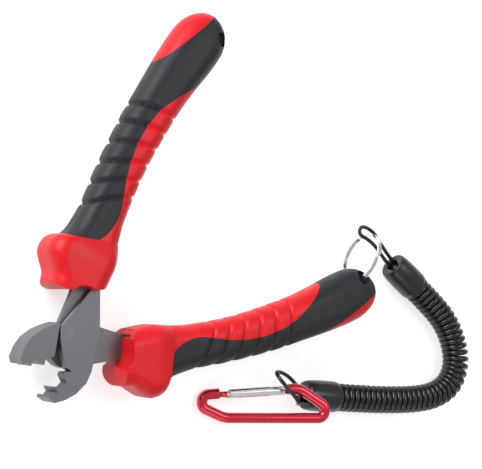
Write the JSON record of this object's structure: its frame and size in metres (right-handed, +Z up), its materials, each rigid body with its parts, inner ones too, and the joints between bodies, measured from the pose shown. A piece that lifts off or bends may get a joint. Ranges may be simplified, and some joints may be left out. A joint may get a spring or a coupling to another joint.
{
  "type": "fishing pliers",
  "caption": "Short-jawed fishing pliers with flared two-colour grips, a split ring in one handle, a coiled lanyard and a sprung carabiner.",
  "frame": {"origin": "on the pivot's axis, at the surface that the pliers lie on", "axes": "+X midway between the open handles towards their tips, +Y towards the upper handle, +Z up along the pivot"},
  "size_m": [0.1959, 0.2288, 0.0249],
  "materials": {
    "jaw_steel": "satin, dark grey",
    "rivet_steel": "satin",
    "red_grip": "hard moulded plastic with a soft sheen",
    "black_grip": "soft-touch moulded rubber",
    "ring_nickel": "bright nickel plate",
    "coil_black": "glossy plastic jacket",
    "cap_black": "glossy moulding",
    "loop_black": "glossy coated wire",
    "ferrule_metal": "plain",
    "carabiner_red": "anodised, glossy",
    "gate_steel": "polished",
    "washer_black": "moulded"
  },
  "bodies": {
    "lower_half": {"lower_jaw_half": "jaw_steel", "lower_grip_core": "red_grip", "lower_grip_cover": "black_grip", "pivot_rivet": "rivet_steel", "coil_cord": "coil_black", "ring_end_cap": "cap_black", "carabiner_end_cap": "cap_black", "ring_wire_loop": "loop_black", "carabiner_wire_loop": "loop_black", "ring_end_ferrule": "ferrule_metal", "carabiner_end_ferrule": "ferrule_metal", "carabiner_body": "carabiner_red", "gate_pin": "rivet_steel", "nose_pin": "rivet_steel"},
    "upper_half": {"upper_jaw_half": "jaw_steel", "upper_grip_core": "red_grip", "upper_grip_cover": "black_grip"},
    "ring_body": {"split_ring": "ring_nickel"},
    "gate_body": {"carabiner_gate": "gate_steel", "gate_plunger": "ferrule_metal", "gate_spring": "ring_nickel", "gate_washer": "washer_black"}
  },
  "joints": [
    {"name": "jaws_close", "type": "hinge", "parent": "lower_half", "child": "upper_half", "pos_m": [0, 0, 0.0116], "axis": [0, 0, -1], "range_deg": [0, 43.8]},
    {"name": "ring_swing", "type": "hinge", "parent": "lower_half", "child": "ring_body", "pos_m": [0.13242, -0.06384, 0.0116], "axis": [0, 0, 1], "range_deg": [-7, 2]},
    {"name": "gate_open", "type": "hinge", "parent": "lower_half", "child": "gate_body", "pos_m": [0.06896, -0.0794, 0.01186], "axis": [-0.2038, 0.1627, 0.9654], "range_deg": [0, 13.5], "stiffness_Nm_per_rad": 0.02, "springref_deg": -28.65}
  ]
}
